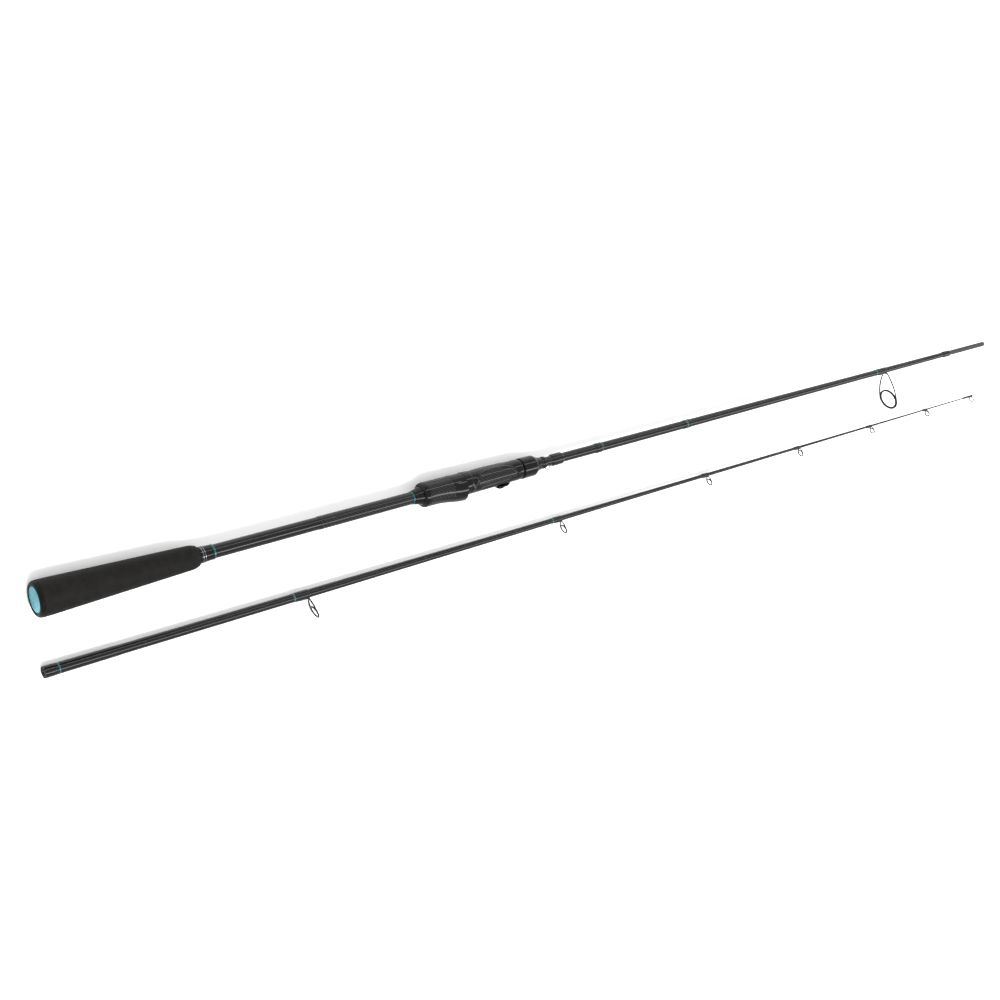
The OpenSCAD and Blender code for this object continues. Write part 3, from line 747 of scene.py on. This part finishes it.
def seat_radius(x, turn):
    """Distance from the rod's axis to the seat's surface, at a station and an angle from the guide side."""
    angle = folded_degrees(turn)
    across = np.radians(angle) * MEAN_RADIUS
    radius = along_profile(BODY_RADII, x)
    # The fixed hood flares towards the guide side and ends in a lip
    rad = np.radians(angle)
    hood = np.maximum(radius, radius + (flare_radius(rad) - radius) * hood_swell(x))
    radius = radius + (hood - radius) * (1 - smooth(LIP - 0.9, LIP + 0.15, x))
    # A low collar just ahead of the lip, cut on a slant
    collar_end = LIP + 3.6 + 2.4 * np.clip((angle - 79) / 26, -0.6, 1.6)
    radius = radius + 0.45 * smooth(LIP - 0.5, LIP, x) * (1 - smooth(collar_end - 0.4, collar_end + 0.5, x))
    # Raised lines and creases
    ridge = distance_to_line(x, across, EYE_RIDGE)
    bead = distance_to_line(x, across, EYE_BEAD)
    radius = radius + 0.5 * np.exp(-(ridge / 0.95) ** 2) + 0.55 * np.exp(-(bead / 1.2) ** 2)
    boss = ((x - 111.7) / 2.0) ** 2 + ((across - math.radians(94.5) * MEAN_RADIUS) / 2.2) ** 2
    corner = ((x - 65.2) / 2.4) ** 2 + ((across - math.radians(58.6) * MEAN_RADIUS) / 1.8) ** 2
    radius = radius + 0.6 * np.exp(-boss) + 0.45 * np.exp(-corner)
    waist = smooth(60, 70, x) * (1 - smooth(97, 107, x))
    radius = radius - 0.7 * waist * np.exp(-((angle - 62) / 11) ** 2)
    rim = rounded_frame(REAR_PANEL[0] - 0.8, REAR_PANEL[1] + 0.8, 64.5, 171.5, 3.2)
    radius = radius + 0.16 * np.exp(-(distance_to_line(x, across, rim) / 0.42) ** 2)
    # Recesses for the two panels
    inside = np.minimum(np.minimum(x - REAR_PANEL[0], REAR_PANEL[1] - x),
                        np.radians(np.minimum(angle - REAR_PANEL[2], REAR_PANEL[3] - angle)) * MEAN_RADIUS)
    radius = radius - PANEL_SINK * smooth(0, 0.5, inside)
    inside = np.minimum(np.minimum(x - EYE_PANEL[0], EYE_PANEL[1] - x),
                        np.radians(np.minimum(angle - EYE_PANEL[2], eye_top(x) - angle)) * MEAN_RADIUS)
    radius = radius - PANEL_SINK * smooth(0, 0.5, inside)
    # The flat bed that carries the reel foot
    flat = BED_HEIGHT / np.maximum(np.cos(rad), 0.05)
    bed = smaller(radius, flat, 0.7)
    return radius + (bed - radius) * smooth(LIP - 0.1, LIP + 0.2, x)


def axis_point(x, turn, radius, axis):
    """World place, in metres, of a station, an angle and a radius round an axis."""
    y, z = axis[0] - radius * np.cos(turn), axis[1] + radius * np.sin(turn)
    return np.stack([x * MM, y * MM, z * MM], -1)


def with_rings(x, turn, radius, rings):
    """A turned grid with more whole rings after its last row, each given as (station, radius)."""
    turns = turn[:1]
    for station, r in rings:
        x = np.concatenate([x, np.full_like(turns, station)])
        turn = np.concatenate([turn, turns])
        radius = np.concatenate([radius, np.full_like(turns, r)])
    return x, turn, radius


def grid_mesh(name, points, uv, wrap_rows=False, wrap_columns=False, close_ends=False):
    """A mesh from a grid of world points, with a UV map in millimetres."""
    rows, columns = points.shape[:2]
    quads = []
    corners = []
    for i in range(rows if wrap_rows else rows - 1):
        j = (i + 1) % rows
        for k in range(columns if wrap_columns else columns - 1):
            n = (k + 1) % columns
            quads.append((i * columns + k, j * columns + k, j * columns + n, i * columns + n))
            corners += [uv[i][k], uv[j][k], uv[j][n], uv[i][n]]
    data = bpy.data.meshes.new(name)
    data.from_pydata(points.reshape(-1, 3).tolist(), [], quads)
    layer = data.uv_layers.new(name="round_mm")
    layer.data.foreach_set("uv", np.array(corners, dtype=np.float32).ravel())
    mesh = bmesh.new()
    mesh.from_mesh(data)
    if close_ends:
        mesh.verts.ensure_lookup_table()
        mesh.faces.new([mesh.verts[k] for k in range(columns)])
        mesh.faces.new([mesh.verts[(rows - 1) * columns + k] for k in reversed(range(columns))])
    bmesh.ops.recalc_face_normals(mesh, faces=mesh.faces)
    mesh.to_mesh(data)
    mesh.free()
    return data


def box_mesh(name, low, high, bevel=0.0):
    """A box with softened edges between two corners, in millimetres of the world."""
    mesh = bmesh.new()
    bmesh.ops.create_cube(mesh, size=1)
    low, high = Vector(low), Vector(high)
    for vert in mesh.verts:
        vert.co = Vector([(low[i] + (high[i] - low[i]) * (vert.co[i] + 0.5)) * MM for i in range(3)])
    if bevel:
        bmesh.ops.bevel(mesh, geom=mesh.edges, offset=bevel * MM, segments=3, profile=0.5, affect="EDGES")
    return finished(mesh, name)


def cut_away(obj, cutters, keep_angle=30):
    """Subtracts meshes from an object and keeps crisp edges."""
    helpers = []
    for cutter in cutters:
        helper = bpy.data.objects.new("cutter", cutter)
        bpy.context.scene.collection.objects.link(helper)
        modifier = obj.modifiers.new("cut", "BOOLEAN")
        modifier.operation = "DIFFERENCE"
        modifier.solver = "EXACT"
        modifier.object = helper
        helpers.append(helper)
    bpy.context.view_layer.update()
    result = bpy.data.meshes.new_from_object(obj.evaluated_get(bpy.context.evaluated_depsgraph_get()))
    obj.modifiers.clear()
    obj.data = result
    for helper in helpers:
        bpy.data.objects.remove(helper)
    result.polygons.foreach_set("use_smooth", [True] * len(result.polygons))
    result.set_sharp_from_angle(angle=math.radians(keep_angle))


def build_seat_body():
    """The seat's moulded body, with its bore, the pocket for the reel foot and the runner's channel."""
    stations = np.unique(np.concatenate([
        np.linspace(0, 5, 22), np.arange(5, LIP - 1.5, 0.4), np.linspace(LIP - 1.5, LIP + 3, 40),
        np.arange(LIP + 3, BED_END - 4, 0.35), np.linspace(BED_END - 4, BED_END, 20)]))
    turns = np.linspace(0, 2 * math.pi, 240, endpoint=False)
    x, turn = np.meshgrid(stations, turns, indexing="ij")
    stem = [(BED_END, STEM_RADIUS), (STEM_END - 0.3, STEM_RADIUS), (STEM_END, STEM_RADIUS - 0.3)]
    inside = [(STEM_END, SEAT_BORE), (0.0, SEAT_BORE), (0.0, 8.9)]
    x, turn, radius = with_rings(x, turn, seat_radius(x, turn), stem + inside)
    uv = np.stack([x, turn * MEAN_RADIUS], axis=-1)
    mesh = grid_mesh("reel_seat_body_fine", axis_point(SEAT + x, turn, radius, BUTT_AXIS), uv, True, True)
    body = add_piece("reel_seat_body_fine", mesh, BUTT, "gloss_black", ("reel_seat_body",))
    middle = BUTT_AXIS[1]
    start, end = SEAT + LIP - POCKET_LENGTH, SEAT + LIP + 1
    cutters = [box_mesh("pocket", (start, -BED_HEIGHT - bottom, middle - half),
                        (end, -BED_HEIGHT - top, middle + half)) for top, bottom, half in FOOT_POCKETS]
    cutters.append(box_mesh("slot", (SEAT + SLOT_START, -SLOT_DEPTHS[0], middle - SLOT_HALF_WIDTH),
                            (SEAT + STEM_END + 1, -SLOT_DEPTHS[1], middle + SLOT_HALF_WIDTH)))
    cut_away(body, cutters)


def panel_patch(node, stations, low_edge, high_edge, side):
    """A woven panel that fills its recess, with its rim tucked under the recess's edge."""
    x, share = np.meshgrid(stations, np.linspace(0, 1, 40), indexing="ij")
    low, high = low_edge(x), high_edge(x)
    turn = np.radians(low + (high - low) * share)
    rim = np.minimum(np.minimum(x - stations[0], stations[-1] - x), (turn - np.radians(low)) * MEAN_RADIUS)
    rim = np.minimum(rim, (np.radians(high) - turn) * MEAN_RADIUS)
    base = along_profile(BODY_RADII, x)
    swell = 0 if stations[0] > LIP else hood_swell(x)
    top = base + np.maximum(flare_radius(turn) - base, 0) * swell - 0.08 - 0.3 * (1 - smooth(0, 0.45, rim))
    bottom = top - 0.5
    upper = axis_point(SEAT + x, turn * side, top, BUTT_AXIS)
    lower = axis_point(SEAT + x, turn * side, bottom, BUTT_AXIS)
    points = np.concatenate([upper, lower[:, ::-1]], axis=1)
    across = turn * MEAN_RADIUS
    uv = np.stack([np.concatenate([x, x[:, ::-1]], 1), np.concatenate([across, across[:, ::-1]], 1)], -1)
    mesh = grid_mesh(f"{node}_fine", points, uv, wrap_columns=True)
    add_piece(f"{node}_fine", mesh, BUTT, "woven_carbon", (node,))


def build_panels():
    """The rear and eye-shaped woven panels on both sides of the seat."""
    rear_start, rear_end = REAR_PANEL[0] + 0.2, REAR_PANEL[1] - 0.2
    eye_start, eye_end = EYE_PANEL[0] + 0.2, EYE_PANEL[1] - 0.2
    rear = runs((rear_start, rear_start + 0.8, 6), (rear_start + 1.2, rear_end - 1.2, 50),
                (rear_end - 0.8, rear_end, 6))
    eye = runs((eye_start, eye_start + 1.3, 10), (eye_start + 1.7, eye_end - 1.7, 90),
               (eye_end - 1.5, eye_end, 8))
    corner = 3.0

    def corner_angle(x):
        """How far a rear panel's rounded corner draws its edge in, in degrees."""
        inset = corner - np.minimum(np.minimum(x - rear_start, rear_end - x), corner)
        return np.degrees((corner - np.sqrt(np.maximum(corner ** 2 - inset ** 2, 0))) / MEAN_RADIUS)

    for side, word in ((1, "upper"), (-1, "lower")):
        panel_patch(f"rear_inlay_{word}", rear, lambda x: 66.5 + corner_angle(x),
                    lambda x: 169.5 - corner_angle(x), side)
        panel_patch(f"side_inlay_{word}", eye, lambda x: np.full_like(x, 91.8),
                    lambda x: np.maximum(eye_top(x) - 0.3, 92.2), side)


# ---------------------------------------------------------------- sliding hood


HOOD_SHAPE = [(0, 7.0, 3.3), (0.4, 7.25, 3.7), (1.8, 7.4, 4.0), (3.8, 7.3, 3.9), (5.6, 6.9, 3.35),
              (7.4, 6.5, 3.1), (9.3, 6.3, 3.45), (11.3, 5.8, 3.0), (13, 4.9, 2.1), (14.3, 4.1, 1.2),
              (15, 3.7, 0.7)]
HOOD_GAP = 0.3        # between the hood's underside and the bed
RUNNER_START = 6.5    # the stem and the runner begin this far behind the hood's mouth
STEM_LENGTH = 4.0
RUNNER_TOP, RUNNER_BOTTOM, RUNNER_HALF_WIDTH = 7.9, 6.5, 2.5


def smoothed(values):
    """A running mean of five, which leaves the two values at each end alone."""
    values[2:-2] = np.convolve(values, np.ones(5) / 5, "valid")
    return values


def build_hood():
    """The hood's saddle-shaped shell, its pocket for the reel foot, and the runner under the lock nut.

    HOOD_SHAPE gives its half width and height at stations from its mouth.
    """
    low, high = node_box("sliding_hood")
    start = low.x
    floor_y = BUTT_AXIS[0] - BED_HEIGHT - HOOD_GAP
    middle = BUTT_AXIS[1]
    along = runs((0, 0.6, 6), (0.8, 14, 60), (14.2, 15, 10))
    width = smoothed(along_profile(HOOD_SHAPE, along))[:, None]
    height = smoothed(along_profile(HOOD_SHAPE, along, 2))[:, None]
    x, turn = np.meshgrid(along, np.linspace(0, math.pi, 48), indexing="ij")
    across = np.sign(np.cos(turn)) * np.abs(np.cos(turn)) ** 0.75 * width
    rise = np.abs(np.sin(turn)) ** 0.7 * height
    points = np.stack([start + x, floor_y - rise, middle + across], -1) * MM
    uv = np.stack([x, turn * 5], -1)
    shell = grid_mesh("sliding_hood_fine", points, uv, wrap_columns=True, close_ends=True)
    hood = add_piece("sliding_hood_fine", shell, "hood", "gloss_black", ("sliding_hood",))
    pocket = box_mesh("pocket", (start - 1, floor_y - 2.7, middle - 5.2),
                      (start + 6, floor_y + 0.4, middle + 5.2))
    cut_away(hood, [pocket])
    near, far = middle - RUNNER_HALF_WIDTH, middle + RUNNER_HALF_WIDTH
    runner_start = start + RUNNER_START
    runner = box_mesh("hood_runner", (runner_start, -RUNNER_TOP, near), (high.x, -RUNNER_BOTTOM, far), 0.3)
    add_piece("hood_runner", runner, "hood", "gloss_black", smooth=False)
    stem = box_mesh("hood_stem", (runner_start, floor_y - 0.4, near),
                    (runner_start + STEM_LENGTH, 0.5 - RUNNER_TOP, far), 0.25)
    add_piece("hood_stem", stem, "hood", "gloss_black", smooth=False)


# ---------------------------------------------------------------- hook keeper and guides


def arc(centre, radius, start, end, steps):
    """Points (a, b) on a circle, from one angle to another in degrees."""
    return [(centre[0] + radius * math.cos(math.radians(start + (end - start) * k / steps)),
             centre[1] + radius * math.sin(math.radians(start + (end - start) * k / steps)))
            for k in range(steps + 1)]


def build_keeper():
    """A loop of fine wire whose feet run under the two thread wraps."""
    low, high = node_box("hook_keeper")
    wire, loop, bend, leg = 0.45, 2.6, 0.8, 0.9
    middle = (low.x + high.x) / 2
    foot_y = high.y - wire
    path = [(low.x, foot_y)] + arc((middle - loop - bend, foot_y - bend), bend, 90, 0, 6)
    path += arc((middle, foot_y - leg), loop, 180, 360, 28)
    path += arc((middle + loop + bend, foot_y - bend), bend, 180, 90, 6) + [(high.x, foot_y)]
    points = [(x, y, BUTT_AXIS[1]) for x, y in path]
    wire_piece("hook_keeper_fine", points, lambda share: wire, BUTT, "guide_frame", ("hook_keeper",))


# Leg start from the section's butt end, wire radius, ring outer radius, lean in degrees, foot length,
# wrap length and half the spread of the legs at the foot
GUIDES = [
    (1050.5, 0.6, 12.3, 16, 15, 17.5, 3.0),
    (255.1, 0.55, 6.1, 20, 13, 15.5, 0.45),
    (557, 0.45, 4.7, 18, 10, 12, 0.36),
    (767.5, 0.4, 4.1, 16, 9, 11, 0.32),
    (915.2, 0.38, 3.8, 14, 8.5, 10.5, 0.3),
    (1041.1, 0.36, 3.6, 14, 8, 10, 0.29),
    (1144.8, 0.36, 3.5, 12, 7.5, 9.5, 0.29)]
FRAME_WALL = 0.35
ACCENTED_GUIDES = 3   # the first guides have a turquoise line on their wrap


def ring_mesh(name, centre, axis, profile, sides=72):
    """A closed profile [(radius, along)] turned round an axis in the XY plane through centre."""
    mesh = bmesh.new()
    axis = Vector(axis).normalized()
    up = Vector((0, 0, 1))
    side = up.cross(axis).normalized()
    rings = []
    for k in range(sides):
        turn = 2 * math.pi * k / sides
        out = up * math.cos(turn) + side * math.sin(turn)
        rings.append([mesh.verts.new((Vector(centre) + out * r + axis * h) * MM) for r, h in profile])
    count = len(profile)
    for k in range(sides):
        n = (k + 1) % sides
        for i in range(count):
            j = (i + 1) % count
            mesh.faces.new((rings[k][i], rings[n][i], rings[n][j], rings[k][j]))
    return finished(mesh, name)


def ring_profile(inner, outer, half, steps=20):
    """A rounded section: an ellipse-like loop between two radii."""
    middle, reach = (inner + outer) / 2, (outer - inner) / 2
    loop = []
    for k in range(steps):
        turn = 2 * math.pi * k / steps
        c, s = math.cos(turn), math.sin(turn)
        out, up = math.copysign(abs(c) ** 0.7, c), math.copysign(abs(s) ** 0.7, s)
        loop.append((middle + reach * out, half * up))
    return loop


def guide_foot(number, body, axis, profile, leg_x, wire, foot_len, spread):
    """The guide's foot, which tapers towards the butt and lies along the blank."""
    toe_x = leg_x - foot_len
    toe_r = radius_at(profile, toe_x)
    heel_r = radius_at(profile, leg_x)
    rows = []
    for share in (0, 0.15, 0.5, 0.8, 0.93, 1.0, 1.05):
        x = toe_x + (leg_x - toe_x) * share
        half = spread + wire * 0.6 if share > 0.9 else wire * (0.5 + 0.75 * share)
        low = toe_r + (heel_r - toe_r) * share + 0.02
        high = low + wire * (0.35 + 0.75 * min(share * 1.6, 1)) + (wire * 0.6 if share > 0.9 else 0)
        section = [(half * 0.9, low), (half, (low + high) / 2), (half * 0.7, high), (0, high + 0.06),
                   (-half * 0.7, high), (-half, (low + high) / 2), (-half * 0.9, low)]
        rows.append([(x * MM, (axis[0] - h) * MM, (axis[1] + w) * MM) for w, h in section])
    points = np.array(rows)
    uv = np.zeros((*points.shape[:2], 2))
    mesh = grid_mesh(f"guide_{number}_foot", points, uv, wrap_columns=True, close_ends=True)
    add_piece(f"guide_{number}_foot", mesh, body, "guide_frame")


def guide_wrap(number, body, axis, profile, leg_x, wire, foot_len, wrap_len):
    """Thread that hugs the blank and rides up over the foot."""
    toe_x = leg_x - foot_len
    x0, x1 = leg_x - wrap_len, leg_x - wire * 1.5 - 0.05
    stations = runs((x0, x0 + 1.2, 8), (x0 + 1.6, x1 - 1.2, 44), (x1 - 0.9, x1, 8))
    x, turn = np.meshgrid(stations, np.linspace(0, 2 * math.pi, 64, endpoint=False), indexing="ij")
    blank = along_profile(profile, x)
    near_end = 0.35 + 0.65 * smooth(0, 0.9, x1 - x)
    coat = 0.34 * smooth(-0.3, 1.4, x - x0) * near_end
    ride = smooth(toe_x - 1.2, toe_x + 3.5, x) * wire * 1.15
    shoulder = math.degrees(2.2 * wire / (blank.mean() + wire)) + 14
    radius = blank + 0.05 + coat + ride * near_end * np.exp(-(folded_degrees(turn) / shoulder) ** 2)
    rings = [(station, along_profile(profile, station) + 0.02) for station in (x1, x0)]
    x, turn, radius = with_rings(x, turn, radius, rings)
    uv = np.stack([x, turn * 4], -1)
    mesh = grid_mesh(f"guide_{number}_wrap_fine", axis_point(x, turn, radius, axis), uv, True, True)
    add_piece(f"guide_{number}_wrap_fine", mesh, body, "thread_black", (f"guide_{number}_wrap",))


def build_guide(number):
    """One guide: its ceramic ring, its frame of bent wire, its foot and the thread over the foot."""
    leg_x, wire, ring_outer, lean, foot_len, wrap_len, spread = GUIDES[number - 1]
    line = mount(f"guide_{number}_line")
    centre = Vector(line["pos_m"]) / MM
    inner = line["dims"]["r_mm"]
    body, axis, profile = (BUTT, BUTT_AXIS, BUTT_PROFILE) if number == 1 else (TIP, TIP_AXIS, TIP_PROFILE)
    leg_x += 0.0 if number == 1 else TIP_START
    land = 0.8 + 0.1 * ring_outer
    outer = ring_outer - FRAME_WALL - 0.02
    ring = ring_mesh(f"guide_{number}_ring_fine", centre, line["axis"], ring_profile(inner, outer, land / 2))
    add_piece(f"guide_{number}_ring_fine", ring, body, "guide_ceramic", (f"guide_{number}_ring",))

    # The frame is one bent wire: up one leg, round the ring and down the other
    away = Vector((math.sin(math.radians(lean)), -math.cos(math.radians(lean)), 0))
    foot_y = axis[0] - radius_at(profile, leg_x) - wire - 0.1
    foot = Vector((leg_x, foot_y, axis[1]))
    reach = (centre - foot).dot(away)
    hold = ring_outer - FRAME_WALL + 0.06 + wire * 0.8
    side_reach = hold - spread
    bow = (reach * reach + side_reach * side_reach) / (2 * side_reach)
    sweep = math.degrees(math.asin(reach / bow))
    leg = arc((spread + side_reach - bow, reach), bow, -sweep, 0, 16)
    over = arc((0, reach), hold, 0, 180, 40)
    path = leg + over[1:-1] + [(-a, b) for a, b in reversed(leg)]
    points = [foot + Vector((0, 0, 1)) * a + away * b for a, b in path]

    def thickness(share):
        """The wire's radius: thicker than the CAD's, so that it stays visible, and most so at the feet."""
        near_ring = min(max((0.5 - abs(share - 0.5)) / 0.5 * 3 - 0.9, 0), 1)
        return wire * (1.35 - 0.2 * near_ring)

    frame_name = f"guide_{number}_frame"
    wire_piece(f"{frame_name}_wire", points, thickness, body, "guide_frame", (frame_name,))
    seat = ring_profile(ring_outer - FRAME_WALL - 0.03, ring_outer + wire * 0.4, land * 0.42)
    band = ring_mesh(f"{frame_name}_band", centre, line["axis"], seat)
    add_piece(f"{frame_name}_band", band, body, "guide_frame")
    guide_foot(number, body, axis, profile, leg_x, wire, foot_len, spread)
    guide_wrap(number, body, axis, profile, leg_x, wire, foot_len, wrap_len)
    if number <= ACCENTED_GUIDES:
        turned_copy(f"guide_{number}_accent", body, "thread_turquoise", axis, soften=0.3, sides=48)


def build_tip_top():
    """The tip-top's ring and the band that holds it."""
    line = mount("tip_top_line")
    centre = Vector(line["pos_m"]) / MM
    inner = line["dims"]["r_mm"]
    ring_outer = inner + 1.1
    ring = ring_mesh("tip_top_ring_fine", centre, line["axis"], ring_profile(inner, ring_outer - 0.37, 0.5))
    add_piece("tip_top_ring_fine", ring, TIP, "guide_ceramic", ("tip_top_ring",))
    held = ring_profile(ring_outer - 0.36, ring_outer + 0.1, 0.42)
    band = ring_mesh("tip_top_frame_band", centre, line["axis"], held)
    add_piece("tip_top_frame_band", band, TIP, "guide_frame", ("tip_top_frame",))


# ---------------------------------------------------------------- stage


def strip_light(name, place, target, size, brightness):
    """A rectangular soft box, long side along X. Brightness is what a mirror would see of it."""
    data = bpy.data.lights.new(name, "AREA")
    data.shape = "RECTANGLE"
    data.size, data.size_y = size
    data.energy = brightness * math.pi * size[0] * size[1]
    light = bpy.data.objects.new(name, data)
    back = (Vector(place) - Vector(target)).normalized()
    right = Vector((1, 0, 0))
    turn = Matrix((right, back.cross(right), back)).transposed().to_4x4()
    light.matrix_world = Matrix.Translation(place) @ turn
    light.visible_camera = False
    bpy.context.scene.collection.objects.link(light)


def build_stage():
    """A wide white floor, an even white world and two long soft boxes beside the rod."""
    low = Vector(cad_bounds[0])
    mesh = bpy.data.meshes.new("floor")
    reach = 12.0
    corners = [(-reach, -reach, 0), (reach, -reach, 0), (reach, reach, 0), (-reach, reach, 0)]
    mesh.from_pydata(corners, [], [(0, 1, 2, 3)])
    floor = bpy.data.objects.new("floor", mesh)
    floor.location.z = min(0.0, low.z) - 0.0002
    mesh.materials.append(floor_material())
    bpy.context.scene.collection.objects.link(floor)
    world = bpy.data.worlds.new("world")
    world.use_nodes = True
    background = world.node_tree.nodes["Background"]
    background.inputs["Color"].default_value = (1, 1, 1, 1)
    background.inputs["Strength"].default_value = 1.2
    bpy.context.scene.world = world
    strip_light("key_strip", (1.7, -0.36, 1.5), (1.7, 0.0, 0.0), (5.0, 0.3), 14.0)
    strip_light("side_strip", (1.4, 1.9, 1.25), (1.4, 0.0, 0.0), (5.0, 0.1), 20.0)
    scene = bpy.context.scene
    scene.view_settings.view_transform = "Standard"
    scene.view_settings.look = "None"


build_grip()
build_blanks()
build_wraps()
build_seat_body()
build_panels()
build_hood()
build_keeper()
for guide in range(1, len(GUIDES) + 1):
    build_guide(guide)
build_tip_top()
build_stage()
